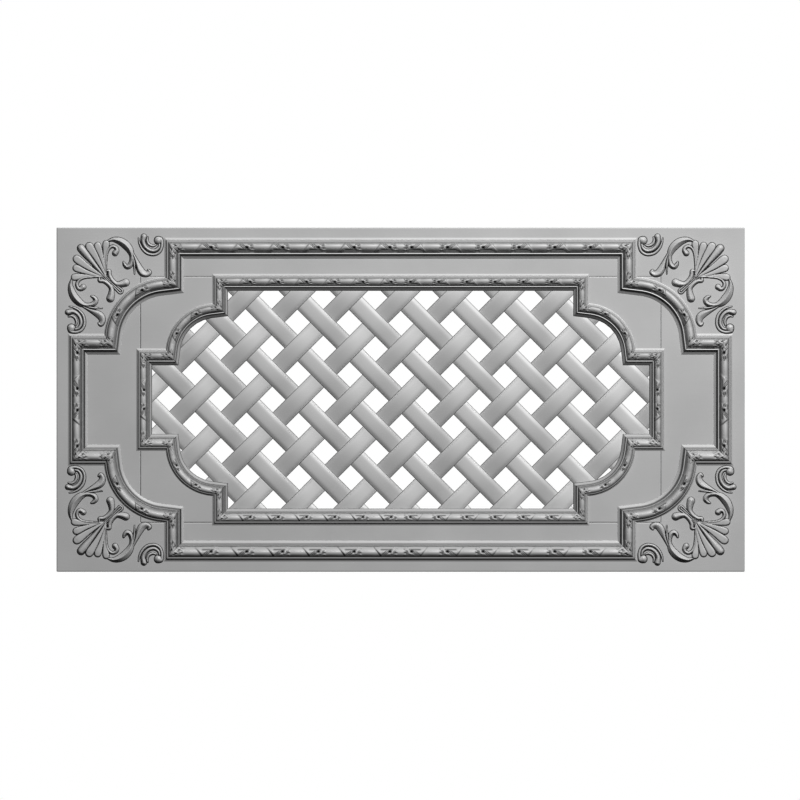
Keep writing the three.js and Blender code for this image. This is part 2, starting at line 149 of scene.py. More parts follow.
def painted_wood(name, colour, shade_colour, roughness, relief_strength):
    material = bpy.data.materials.new(name)
    material.use_nodes = True
    nodes = material.node_tree.nodes
    links = material.node_tree.links
    shader = nodes["Principled BSDF"]
    shader.inputs["Roughness"].default_value = roughness
    shader.inputs["Specular IOR Level"].default_value = GLOSS
    place_on_piece = nodes.new("ShaderNodeTexCoord").outputs["Object"]

    def noise(scale, detail, vector):
        node = nodes.new("ShaderNodeTexNoise")
        node.inputs["Scale"].default_value = scale
        node.inputs["Detail"].default_value = detail
        links.new(vector, node.inputs["Vector"])
        return node.outputs["Fac"]

    tint = nodes.new("ShaderNodeValToRGB")
    for stop, (where, strength) in zip(tint.color_ramp.elements, CLOUD_STOPS):
        stop.position = where
        stop.color = (*[channel * strength for channel in colour], 1)
    links.new(noise(CLOUD_SCALE, 3.0, place_on_piece), tint.inputs["Fac"])

    # painted shade: the per-point attribute mixes the paint towards a near-black shade colour
    painted_shade = nodes.new("ShaderNodeAttribute")
    painted_shade.attribute_name = "painted_shade"
    shaded = nodes.new("ShaderNodeMix")
    shaded.data_type = "RGBA"
    shaded.inputs["B"].default_value = (*shade_colour, 1)
    links.new(painted_shade.outputs["Fac"], shaded.inputs["Factor"])
    links.new(tint.outputs["Color"], shaded.inputs["A"])
    links.new(shaded.outputs["Result"], shader.inputs["Base Color"])

    stretch = nodes.new("ShaderNodeMapping")
    stretch.inputs["Scale"].default_value = FIBRE_SCALE
    links.new(place_on_piece, stretch.inputs["Vector"])
    film = nodes.new("ShaderNodeMath")
    film.operation = "MULTIPLY_ADD"
    film.inputs[1].default_value = FIBRE_SHARE
    links.new(noise(1.0, 4.0, stretch.outputs["Vector"]), film.inputs[0])
    links.new(noise(PEBBLE_SCALE, 2.0, place_on_piece), film.inputs[2])
    relief = nodes.new("ShaderNodeBump")
    relief.inputs["Strength"].default_value = relief_strength
    relief.inputs["Distance"].default_value = FILM_DEPTH
    links.new(film.outputs["Value"], relief.inputs["Height"])
    links.new(relief.outputs["Normal"], shader.inputs["Normal"])
    return material


GREY = (0.36, 0.36, 0.36)
LIGHT_GREY = (0.38, 0.38, 0.38)
# near-black painted shade for the cuts and for faces turned from the light
PAINTED_SHADE_GREY = (0.006, 0.006, 0.006)
board_paint = painted_wood("board paint", GREY, PAINTED_SHADE_GREY, 0.55, 0.35)
moulding_paint = painted_wood("moulding paint", GREY, PAINTED_SHADE_GREY, 0.5, 0.2)
carving_paint = painted_wood("carving paint", GREY, PAINTED_SHADE_GREY, 0.5, 0.2)
lattice_paint = painted_wood("lattice paint", LIGHT_GREY, PAINTED_SHADE_GREY, 0.52, 0.3)
print("paints:", board_paint.name, moulding_paint.name, carving_paint.name, lattice_paint.name)

# %% [markdown]
# ## The two boards
#
# The frame board and the insert are plain boards, so their solids have the right shape already. What
# a solid lacks is the eased edge that sanding and paint leave, and that is what makes the fine joint
# line between the two boards show. So a merged copy of each solid gets a narrow bevel and takes the
# solid's place, and its faces behind the front face get a faint painted shade.

# %% Ease the edges of the boards
EASED_EDGE = 1.3 * MM
MERGE_DISTANCE = 0.01 * MM
SHARP_EDGE = math.radians(30)
# painted shade on the faces behind the front face, in the joint and round the opening
JOINT_SHADE = 0.02
JOINT_TOP = 0.3                 # how far behind the front face the joint's painted shade starts
PLAIN_EDGE = 5                  # no painted shade lies this near to the panel's own edges


def eased_board(node, name):
    """A copy of a board's solid with its sharp edges eased."""
    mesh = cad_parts[node].data.copy()
    mesh.name = name
    work = bmesh.new()
    work.from_mesh(mesh)
    bmesh.ops.remove_doubles(work, verts=work.verts, dist=MERGE_DISTANCE)
    sharp = [edge for edge in work.edges if edge.calc_face_angle(0) > SHARP_EDGE]
    bmesh.ops.bevel(work, geom=sharp, offset=EASED_EDGE, segments=2, profile=0.5,
                    affect="EDGES", clamp_overlap=True)
    work.to_mesh(mesh)
    work.free()
    for polygon in mesh.polygons:
        polygon.use_smooth = False
    places = np.empty(len(mesh.vertices) * 3)
    mesh.vertices.foreach_get("co", places)
    x, y, z = places.reshape(-1, 3).T / MM
    in_width = np.abs(x - MIDDLE_X) < PANEL_WIDTH / 2 - PLAIN_EDGE
    in_height = np.abs(z - MIDDLE_Z) < PANEL_HEIGHT / 2 - PLAIN_EDGE
    # painted shade: the faces behind the front face, away from the panel's edges
    shaded = in_width & in_height & (y > FRONT + JOINT_TOP)
    layer = mesh.attributes.new("painted_shade", "FLOAT", "POINT")
    layer.data.foreach_set("value", shaded.astype(np.float32) * JOINT_SHADE)
    return mesh


for board in ("frame_board", "insert_board"):
    place(f"eased_{board}", eased_board(board, f"eased_{board}"), board_paint, [board])

# %% [markdown]
# ## The mouldings
#
# Each moulding is one length of carved section, cut into straight pieces and bows and mitred round
# the panel. A sweep along a path would round the mitres off, so the section is carried from corner
# to corner instead: every line of the section gets its own corner points, and the stations between
# them are shared out evenly. The lines then meet in a clean mitre by themselves.

# %% Sizes of the mouldings
# A section point is: distance from the outer edge, height above the board, and its painted shade.
# A roll is given by where it starts and ends, and by its crest's height and place. The husks on it
# have a pitch, a first one from each long run's end, and a leaf that reaches so far from a mitre.
BOW_TILT = math.radians(7)
OUTER = {
    "notch": (167.7, 167.2), "bow_centre": (172.5, 178.5), "bow_radius": 110, "upright": 0.94,
    "roll": (8.6, 24.6), "bow_roll": (5.0, 20.0),
    "crest": 11.25, "crest_at": 15.6,
    "pitch": 62.4, "first_eye": 18.8, "leaf": 17, "step": 1.1,
    "before": [(0, 0, 0), (0.6, 0.15, 0), (2.6, 1.0, 0), (4.3, 2.4, 0.1), (4.7, 3.6, 0.5),
               (5.2, 4.3, 0.3), (5.8, 4.5, 0.1), (8.1, 4.5, 0.4)],
    "after": [(26.6, 2.4, 0.55), (26.75, 5.5, 0.3), (26.9, 7.1, 0), (28.4, 7.65, 0),
              (28.7, 7.2, 0.15), (29.6, 5.9, 0.45), (31.7, 3.05, 0.4), (32.1, 2.7, 0.15),
              (33.7, 1.6, 0), (36.4, 0.3, 0), (36.8, 0, 0)],
}
INNER = {
    "notch": (132.5, 130), "bow_centre": (139.5, 139.5), "bow_radius": 88.5, "upright": 0.94,
    "roll": (7.6, 20.2), "bow_roll": (4.8, 16.4),
    "crest": 9.8, "crest_at": 12.3,
    "pitch": 49.2, "first_eye": 16.6, "leaf": 14, "step": 1.0,
    "before": [(0, 0, 0), (0.5, 0.15, 0), (2.3, 0.9, 0), (3.8, 2.2, 0.1), (4.2, 3.3, 0.5),
               (4.6, 3.9, 0.3), (5.1, 4.1, 0.1), (7.2, 4.1, 0.4)],
    "after": [(21.3, 2.2, 0.5), (21.4, 4.8, 0.3), (21.5, 5.9, 0), (22.9, 6.3, 0.1),
              (23.1, 6.0, 0.2), (23.9, 4.9, 0.45), (24.6, 3.9, 0.4), (24.9, 3.6, 0.15),
              (28.2, 1.3, 0.05), (28.9, 0.6, 0.4), (29.6, 0, 0.4)],
}
ROLL_FLANK = 3.4                # the roll's section: how steep it would get far out, and how slowly
ROLL_ROUND = 20
ROLL_SHADE = 0.8                 # how dark the painted shade on the roll's inner flank gets at most
UPRIGHT_SHADE = 1.0              # painted shade is laid far heavier on the upright runs than on the level ones
BOW_SHADE = 0.6
LEVEL_SHADE = 0.1
SHADED_FLANK = (0.3, 1.15)       # across the roll, from where the painted shade starts to where it would be full
# painted shade on the roll's outer flank, across the roll from where it starts to where it is full
OUTER_FLANK = (-0.35, -1.0)
ROLL_LINES = 17

# %% [markdown]
# ## The husk on the roll
#
# The roll is carved as a string of husks: a smooth pod slips out of a gathered leaf, whose folds run
# together in a small drilled eye and open again in three petal tips. One husk is a function of two
# numbers: how far along the motif a point lies, and how far across the roll. It answers with the
# share of the full crest that the carver left standing there, and with the painted shade in its cuts.


# %% One husk
FOLDS = (-0.135, -0.08, -0.026)
FOLD_WIDTH = 0.013
FOLD_DEPTH = 0.12
LOWER_DEPTH = 0.10
MARK_DEPTH = 0.12
EYE_DEPTH = 0.4
LEAF_START = -0.38              # where a leaf's gathered end lies along the motif
BOW_LEAF_START = -0.24


def between(low, high, value, soft=0.012):
    """1 from low to high and 0 elsewhere, with soft ends."""
    return soft_step(low - soft, low + soft, value) * (1 - soft_step(high - soft, high + soft, value))


def husk(along, across, leaf_start):
    """(height share, painted shade) at a place -0.5 to 0.5 along the motif from its eye and -1 to 1 across.
    """
    sheath = leaf_start + 0.1 * (0.4 - across)
    tips = 0.10 + 0.11 * np.abs(np.cos(1.5 * math.pi * across)) ** 0.7
    pod_place = np.where(along < sheath, along + 1, along)
    pod = 0.86 + 0.1 * np.sin(math.pi * np.clip((pod_place - 0.16) / 0.46, 0, 1))
    leaf = between(sheath, tips, along)
    fold = along - 0.145 * across
    upper = between(-0.85, 0.3, across, 0.12) * soft_step(sheath + 0.02, sheath + 0.06, along)
    folds = sum(hump(place_along, FOLD_WIDTH, fold) for place_along in FOLDS) * upper
    lower = between(0.38, 0.72, across, 0.1) * between(-0.26, 0.07, along, 0.03)
    marks = hump(-0.2, 0.13, across - 1.2 * (along - 0.15)) * between(0.085, 0.2, along)
    marks += hump(0.16, 0.12, across) * between(0.09, 0.17, along)
    marks += hump(-0.68, 0.1, across) * between(0.02, 0.16, along)
    eye = np.exp(-((along / 0.036) ** 2) - ((across - 0.1) / 0.26) ** 2)
    edge = hump(0, 0.013, along - sheath)
    lip = hump(0, 0.014, along - tips)
    carved = 1.0 - FOLD_DEPTH * folds - LOWER_DEPTH * lower - MARK_DEPTH * marks
    carved = carved + 0.03 * hump(0.05, 0.02, along - sheath)
    height = pod + (carved - pod) * leaf - EYE_DEPTH * eye - 0.06 * edge
    # painted shade in the eye, along the sheath's edge and the lip, and in the folds and marks
    painted_shade = 1.3 * eye + 0.6 * edge + 0.4 * lip + leaf * (folds + 0.6 * lower + 0.9 * marks)
    return height, np.clip(painted_shade, 0, 1)


def mitre_leaf(gap, across, loop):
    """(height share, painted shade, strength) of the lobed leaf over a mitre, gap millimetres from it."""
    reach = loop["leaf"]
    lobes = reach * (0.72 + 0.28 * np.abs(np.cos(1.5 * math.pi * across)))
    strength = 1 - soft_step(lobes - 0.8, lobes + 0.8, gap)
    share = gap / reach
    veins = hump(0, 0.34, np.sin(2.4 * math.pi * across + 5.2 * share)) * between(0.12, 0.8, share, 0.08)
    pits = hump(0.42, 0.1, share) * hump(0.45, 0.2, np.abs(across))
    edge = hump(0, 0.9, gap - lobes)
    height = 1.0 - 0.12 * veins - 0.2 * pits
    # painted shade in the veins and pits and along the lobes' edge
    painted_shade = 0.8 * veins + pits + 0.75 * edge
    return height, np.clip(painted_shade, 0, 1), strength


POD_END = -0.48                 # the smooth pod runs from past the tips to the next leaf
POD_START = 0.26
SHORT_EYE = 0.385               # a short run's first eye, from its middle, as a share of the pitch


def on_pod(along):
    """Whether a place along the motif is on the smooth pod, where few stations will do."""
    return along < POD_END or along > POD_START


def motif_place(kind, distance, loop):
    """Where along the husk a point lies, from its distance to the middle of its run."""
    pitch = loop["pitch"]
    if kind == "bow":
        turns = (pitch / 2 - distance) / pitch
    elif kind == "short":
        turns = SHORT_EYE - np.abs(distance) / pitch
    else:
        turns = (loop["first_eye"] - np.abs(distance)) / pitch
    return turns - np.floor(turns + 0.5)


# %% [markdown]
# ## From section to loop
#
# One quarter of the loop is laid out from the middle of the top run to the middle of the side run,
# and the other three are its mirror images. Where two pieces are mitred, a hair of the joint shows,
# so the stations nearest a mitre dip a little.


# %% Lay out one quarter of a moulding
FAR = 1000                      # stands for a run's end that has no mitre
MITRE_STATIONS = (0.35, 0.9)    # the two close stations by a mitre
EVEN_FROM = 1.5                 # from here on the stations are shared out evenly


def section_of(loop):
    """Line by line: offset on straight runs and on bows, height, painted shade and place across the roll.
    """
    before = np.array(loop["before"], dtype=float)
    after = np.array(loop["after"], dtype=float)
    across = np.linspace(-1, 1, ROLL_LINES)
    share = (across + 1) / 2
    (start, end), (bow_start, bow_end) = loop["roll"], loop["bow_roll"]
    offset = np.concatenate([before[:, 0], start + share * (end - start), after[:, 0]])
    bow_offset = np.concatenate([before[:, 0] * bow_start / start,
                                 bow_start + share * (bow_end - bow_start),
                                 after[:, 0] - end + bow_end])
    away = (start + share * (end - start) - loop["crest_at"]) / ROLL_ROUND
    roll = loop["crest"] - ROLL_FLANK * ROLL_ROUND * (np.sqrt(1 + away ** 2) - 1)
    height = np.concatenate([before[:, 1], roll, after[:, 1]])
    # painted shade on the roll's outer flank
    roll_shade = 0.5 * soft_step(*OUTER_FLANK, across)
    painted_shade = np.concatenate([before[:, 2], roll_shade, after[:, 2]])
    off_roll = [np.full(len(points), np.nan) for points in (before, after)]
    place_across = np.concatenate([off_roll[0], across, off_roll[1]])
    return offset, bow_offset, height, painted_shade, place_across


def shares(length, step, mitre_at_start, mitre_at_end):
    """Shares of the way along a run, with two close stations by each mitre."""
    count = max(2, math.ceil(length / step))
    near = [station / length for station in MITRE_STATIONS]
    inner = np.linspace(0, 1, count + 1)[1:-1]
    inner = inner[(inner > EVEN_FROM / length) & (inner < 1 - EVEN_FROM / length)]
    start = [0, *near] if mitre_at_start else [0]
    end = [*(1 - share for share in reversed(near)), 1] if mitre_at_end else [1]
    return np.array([*start, *inner, *end])


def quarter_of(loop, size):
    """Stations of one quarter: points, distances to the run's middle, its kind, mitre gap and painted
    shade.
    """
    offset, bow_offset, *_ = section_of(loop)
    narrow = offset * loop["upright"]
    half_width, half_height = size[0] / 2, size[1] / 2
    notch_x = half_width - loop["notch"][0] - narrow
    notch_z = half_height - loop["notch"][1] - offset
    centre_x = half_width - loop["bow_centre"][0]
    centre_z = half_height - loop["bow_centre"][1]
    radius = loop["bow_radius"] - bow_offset
    sine, cosine, slope = math.sin(BOW_TILT), math.cos(BOW_TILT), math.tan(BOW_TILT)
    upper = np.stack([centre_x + radius * sine, centre_z + radius * cosine], axis=-1)
    lower = np.stack([centre_x + radius * cosine, centre_z + radius * sine], axis=-1)
    start = np.stack([notch_x, upper[:, 1] + (upper[:, 0] - notch_x) * slope], axis=-1)
    end = np.stack([lower[:, 0] + (lower[:, 1] - notch_z) * slope, notch_z], axis=-1)
    top = np.stack([notch_x, half_height - offset], axis=-1)
    side = np.stack([half_width - narrow, notch_z], axis=-1)
    top_middle = np.stack([np.zeros_like(offset), half_height - offset], axis=-1)
    side_middle = np.stack([half_width - narrow, np.zeros_like(offset)], axis=-1)
    step = loop["step"]
    lines = len(offset)
    rows = []

    def straight(a, b, kind, middle, axis, mitres):
        length = np.abs(b - a).max()
        # how much painted shade the run takes: upright runs the most, level runs the least
        run_shade = UPRIGHT_SHADE if axis else LEVEL_SHADE
        for share in shares(length, step, *mitres):
            point = a + (b - a) * share
            to_start = share * length if mitres[0] else FAR
            to_end = (1 - share) * length if mitres[1] else FAR
            rows.append((point, point[:, axis] - middle, kind, min(to_start, to_end), run_shade))

    def bowed(point, distance, gap):
        rows.append((point, np.full(lines, distance), "bow", gap, BOW_SHADE))

    roll = np.argmin(np.abs(offset - sum(loop["roll"]) / 2))
    straight(top_middle, top, "long", 0, 0, (False, True))
    straight(top, start, "short", (top[roll, 1] + start[roll, 1]) / 2, 1, (True, True))
    arc = radius[roll] * (math.pi / 2 - 2 * BOW_TILT)
    lead = np.hypot(*(upper[roll] - start[roll]))
    for share in shares(lead, step, True, False)[:-1]:
        bowed(start + (upper - start) * share, -arc / 2 - lead * (1 - share), share * lead)
    for share in np.linspace(0, 1, math.ceil(arc / step)):
        angle = math.pi / 2 - BOW_TILT - share * (math.pi / 2 - 2 * BOW_TILT)
        turn = np.stack([np.full(lines, math.cos(angle)), np.full(lines, math.sin(angle))], axis=-1)
        bowed(np.array([centre_x, centre_z]) + radius[:, None] * turn, (share - 0.5) * arc,
              lead + min(share, 1 - share) * arc)
    for share in shares(lead, step, False, True)[1:]:
        bowed(lower + (end - lower) * share, arc / 2 + lead * share, (1 - share) * lead)
    straight(end, side, "short", (end[roll, 0] + side[roll, 0]) / 2, 0, (True, True))
    straight(side, side_middle, "long", 0, 1, (True, False))
    return rows


# %% Build a whole moulding
POD_GAPS = 2                    # stations that may be left out in a row on a smooth pod
LEAF_MARGIN = 2                 # none is left out this near to a mitre's leaf
FILLET_POINTS = 3               # from the groove to the top of the fillet's far side
GROOVE_BULGE = 1.2              # how far a leaf fills the groove beside it
DIP_WIDTH = 0.7                 # the hair of a joint that shows at a mitre
DIP_DEPTH = 0.3
DIP_FROM = 0.6                  # lines that lie lower than this don't dip


def moulding_mesh(name, node, loop):
    low, high = box_of(node)
    size = (high[0] - low[0], high[2] - low[2])
    _, _, height, painted_shade, across = section_of(loop)
    on_roll = ~np.isnan(across)
    middle = np.flatnonzero(on_roll)[ROLL_LINES // 2]
    groove = np.flatnonzero(on_roll)[-1] + 1
    stations, depths, painted_shades = [], [], []
    previous = None
    skipped = 0
    for point, distance, kind, gap, run_shade in quarter_of(loop, size):
        if previous is not None and np.abs(point - previous).max() < 1e-6:
            continue
        is_clear = gap > loop["leaf"] + LEAF_MARGIN
        if is_clear and on_pod(motif_place(kind, distance[middle], loop)) and skipped < POD_GAPS:
            skipped += 1
            continue
        skipped = 0
        previous = point
        dip = max(0, 1 - gap / DIP_WIDTH)
        leaf_start = BOW_LEAF_START if kind == "bow" else LEAF_START
        share, dark = husk(motif_place(kind, distance[on_roll], loop), across[on_roll], leaf_start)
        leaf_share, leaf_dark, covered = mitre_leaf(gap, across[on_roll], loop)
        share = share + (leaf_share - share) * covered
        dark = dark + (leaf_dark - dark) * covered
        raised = height.copy()
        raised[on_roll] *= share
        # painted shade: heavier past the fillet and on the roll's inner flank, by the run's share
        shade = painted_shade.copy()
        shade[groove + FILLET_POINTS:] *= 1 + run_shade
        shade[on_roll] += ROLL_SHADE * run_shade * soft_step(*SHADED_FLANK, across[on_roll])
        bulge = between(leaf_start + 0.06, 0.2, motif_place(kind, distance[groove], loop), 0.03)
        raised[groove] += GROOVE_BULGE * bulge
        shade[on_roll] = np.maximum(dark, shade[on_roll])
        raised = np.where(raised > DIP_FROM, raised - DIP_DEPTH * dip, raised)
        stations.append(point)
        depths.append(raised)
        # painted shade also in the hair-line of each mitre
        painted_shades.append(np.clip(shade + DIP_DEPTH * dip, 0, 1))
    points, depths, painted_shades = np.array(stations), np.array(depths), np.array(painted_shades)
    rings, heights, darks = [], [], []
    for x_sign, z_sign, backwards in ((1, 1, False), (1, -1, True), (-1, -1, False), (-1, 1, True)):
        order = slice(None, None, -1) if backwards else slice(None)
        quarter = (points * np.array([x_sign, z_sign]))[order]
        rings.append(quarter[:-1])
        heights.append(depths[order][:-1])
        darks.append(painted_shades[order][:-1])
    flat = np.concatenate(rings)
    lift = np.concatenate(heights)
    ring_count, line_count = lift.shape
    places = np.stack([flat[:, :, 0], FRONT - lift, flat[:, :, 1]], axis=-1).reshape(-1, 3)
    ring, line = np.meshgrid(np.arange(ring_count), np.arange(line_count), indexing="ij")
    after, beside = (ring + 1) % ring_count, (line + 1) % line_count
    faces = np.stack([ring * line_count + line, ring * line_count + beside,
                      after * line_count + beside, after * line_count + line], axis=-1).reshape(-1, 4)
    return make_mesh(name, places, faces, np.concatenate(darks).reshape(-1), sharp=60)


for node, loop in (("outer_moulding", OUTER), ("inner_moulding", INNER)):
    place(f"carved_{node}", moulding_mesh(f"carved_{node}", node, loop), moulding_paint,
          [node])

# %% [markdown]
# ## The corner carvings
#
# A palmette is drawn as strokes, as a carver sets it out: each petal, leaf and curl is a line with
# a width that swells and dies away. The strokes are laid on a fine grid, every grid point takes the
# height of the highest stroke over it, and the grid is then cut along the outline, so that the
# carving gets clean steep walls down to the board.
#
# The places are in hundredths of the carving's reach from the panel's own corner, across and down,
# and the third number is half the stroke's width there.

# %% Strokes of the palmette
REACH = 174.4
PALMETTE_HEIGHT = 9.3
SCROLL_HEIGHT = 6.3
TURN_SQUEEZE = 0.92             # the half below the diagonal is drawn a little wider and shorter
TURN_SHIFT = (4.0, -5.2)
SHORT_SCROLL_SHIFT = (-0.92, -4.9)
PALMETTE_OFFSET = -1.7          # how far the palmette stands from its drawn place, towards the side edge

MIDDLE_PETAL = {"form": "club", "height": 1.0,
                "points": [(50, 50.4, 1.0), (43.5, 42.6, 1.8), (36, 33.4, 2.9), (28.6, 24.4, 4.1),
                           (25.4, 20.6, 4.0)]}
STEM = {"form": "reeds", "height": 0.62,
        "points": [(49, 49.5, 2.0), (57, 56.6, 2.2), (64.6, 63.4, 3.2)]}
HALF_PALMETTE = [
    {"form": "petal", "height": 0.9,
     "points": [(50, 48.6, 0.9), (46, 40, 1.7), (40.4, 29.6, 3.0), (35, 20.8, 4.1), (33.6, 18.6, 3.9)]},
    {"form": "petal", "height": 0.82,
     "points": [(50.2, 46.6, 0.8), (48, 37.4, 1.5), (45.2, 27.4, 2.5), (42.6, 19.8, 3.6),
                (42, 18, 3.5)]},
    {"form": "petal", "height": 0.76,
     "points": [(50.2, 45, 0.8), (49.4, 35.4, 1.2), (49.2, 26, 1.9), (50.2, 18, 3.3), (50.4, 16, 3.3)]},
    {"form": "round", "height": 0.8,
     "points": [(49.9, 44, 1.0), (50.4, 34, 1.0), (51.2, 26, 1.2), (53.4, 20.8, 1.5), (56.9, 18.7, 1.7),
                (60.2, 20, 1.8), (61.1, 22.8, 2.3), (59.4, 25.6, 2.9)]},
    {"form": "keel", "height": 0.88,
     "points": [(51.4, 13.6, 0.8), (57, 11.9, 2.0), (62, 12.6, 3.2), (66.5, 14.6, 3.9), (70.5, 17.8, 4.1),
                (74, 22.2, 3.5), (76, 27.5, 2.4), (76, 33, 2.2), (74.4, 37.6, 2.5), (71.4, 39.2, 2.4),
                (68.9, 37, 1.8), (67.9, 34.4, 0.9)]},
    {"form": "round", "height": 0.45, "points": [(77.2, 27.6, 0.8), (78.6, 37, 1.1), (78.9, 46.4, 0.5)]},
    {"form": "leaf", "height": 0.74,
     "points": [(77.4, 25.2, 0.7), (80.5, 32, 1.5), (82.4, 37, 2.5), (84.4, 41.8, 3.5), (87, 45.2, 3.6),
                (90.6, 46.4, 3.0), (93.6, 44.8, 2.4), (92.8, 42.6, 1.2)]},
    {"form": "round", "height": 0.84,
     "points": [(51.4, 43, 1.2), (53.6, 43.6, 1.9), (54, 48, 2.1), (56.8, 53, 2.3), (61, 56.4, 2.5),
                (66.2, 56.2, 3.3), (70, 55, 3.8)]},
]
SCROLL = [
    {"form": "round", "height": 0.8,
     "points": [(81.8, 10.4, 0.5), (82.8, 15.5, 1.0), (85.5, 21, 1.3), (90.5, 25.6, 1.5), (97.5, 26.9, 1.5),
                (103, 24, 1.5), (105.3, 18, 1.6), (104.6, 12, 2.0), (101.6, 12.6, 4.2)]},
    {"form": "round", "height": 1.0,
     "points": [(87.2, 9, 2.9), (86.4, 14, 2.3), (88.6, 19, 2.0), (93, 22.4, 1.9), (98, 23, 1.8),
                (101.8, 20.4, 1.5), (102.8, 17, 1.2)]},
    {"form": "round", "height": 0.72,
     "points": [(91, 9.6, 0.8), (90.6, 13.2, 1.3), (92.4, 16.6, 1.5), (96, 18.2, 1.4), (99, 17.4, 1.0)]},
]


def turned(stroke, shift=(0, 0)):
    """The same stroke on the other side of the corner's diagonal."""
    points = [(TURN_SHIFT[0] + shift[0] + TURN_SQUEEZE * down,
               TURN_SHIFT[1] + shift[1] + across / TURN_SQUEEZE, half)
              for across, down, half in stroke["points"]]
    return {**stroke, "points": points, "side": -1}


# %% A stroke as a smooth line
LINE_STEPS = 70
THINNEST = 0.05                 # the least half width, in millimetres


def smooth_line(points, count):
    """Points on a smooth curve through the given ones, with their half widths, in millimetres."""
    known = np.array(points, dtype=float) * REACH / 100
    padded = np.vstack([2 * known[0] - known[1], known, 2 * known[-1] - known[-2]])
    spans = len(known) - 1
    line = []
    for place_along in np.linspace(0, spans, count):
        span = min(int(place_along), spans - 1)
        t = place_along - span
        a, b, c, d = padded[span:span + 4]
        line.append(0.5 * (2 * b + (c - a) * t + (2 * a - 5 * b + 4 * c - d) * t ** 2
                           + (3 * b - a - 3 * c + d) * t ** 3))
    return np.array(line)


def stroke_field(stroke, x, z):
    """Distance outside a stroke's edge, place across it from -1 to 1, and half width, for each point."""
    turn = stroke.get("side", 1)
    line = smooth_line(stroke["points"], LINE_STEPS)
    best = np.full(x.shape, np.inf)
    across = np.zeros(x.shape)
    width = np.ones(x.shape)
    for a, b in zip(line[:-1], line[1:]):
        step = b[:2] - a[:2]
        length = max(np.hypot(*step), 1e-9)
        share = np.clip(((x - a[0]) * step[0] + (z - a[1]) * step[1]) / length ** 2, 0, 1)
        away_x = x - a[0] - share * step[0]
        away_z = z - a[1] - share * step[1]
        half = np.maximum(a[2] + (b[2] - a[2]) * share, THINNEST)
        distance = np.hypot(away_x, away_z)
        side = np.sign(step[0] * away_z - step[1] * away_x)
        outside = distance - half
        nearer = outside < best
        best = np.where(nearer, outside, best)
        across = np.where(nearer, turn * side * distance / half, across)
        width = np.where(nearer, half, width)
    return best, across, width


# %% From strokes to a relief
# Each form is the height across a stroke and the slope of its walls.
FORMS = {
    "club": (lambda q: 0.2 + 0.8 * np.sqrt(np.clip(1 - q ** 2, 0, 1)), 3.0),
    "petal": (lambda q: 0.5 + 0.3 * np.sqrt(np.clip(1 - q ** 4, 0, 1)), 5.5),
    "round": (lambda q: 0.12 + 0.88 * (1 - q ** 2), 4.0),
    "keel": (lambda q: 0.16 + 0.84 * (1 - np.abs(q) ** 1.1), 3.0),
    "leaf": (lambda q: 0.16 + 0.6 * (1 - np.abs(q) ** 1.3) + 0.24 * hump(0.45, 0.3, q), 3.0),
    "reeds": (lambda q: 0.2 + 0.7 * np.abs(np.cos(1.5 * math.pi * np.clip(q, -1, 1))) ** 0.6, 4.0),
}
FOOT_WIDTH = 0.5                # the quirk cut round a carving where it meets the board
FOOT_HEIGHT = 0.35
THIN_HEIGHT = 0.5               # how high a stroke stands where it thins out, as a share of its height


def relief_mesh(strokes, height, spacing):
    """Points (across, down, height) and triangles of a carving, clipped along its outline."""
    lines = np.vstack([smooth_line(stroke["points"], LINE_STEPS) for stroke in strokes])
    low = lines[:, :2].min(axis=0) - lines[:, 2].max() - 2 * spacing
    high = lines[:, :2].max(axis=0) + lines[:, 2].max() + 2 * spacing
    columns = np.arange(low[0], high[0], spacing)
    rows = np.arange(low[1], high[1], spacing)
    x, z = np.meshgrid(columns, rows, indexing="ij")
    outline = np.full(x.shape, np.inf)
    surface = np.zeros(x.shape)
    for stroke in strokes:
        outside, across, width = stroke_field(stroke, x, z)
        profile, wall = FORMS[stroke["form"]]
        shape = profile(np.clip(across, -1, 1))
        widest = max(point[2] for point in stroke["points"]) * REACH / 100
        fullness = THIN_HEIGHT + (1 - THIN_HEIGHT) * np.clip(width / widest, 0, 1)
        level = height * stroke["height"] * fullness * shape
        level = np.minimum(level, FOOT_HEIGHT + wall * np.maximum(-outside, 0))
        surface = np.maximum(surface, level)
        outline = np.minimum(outline, outside - FOOT_WIDTH)
    return clip_and_close(x, z, outline, surface)


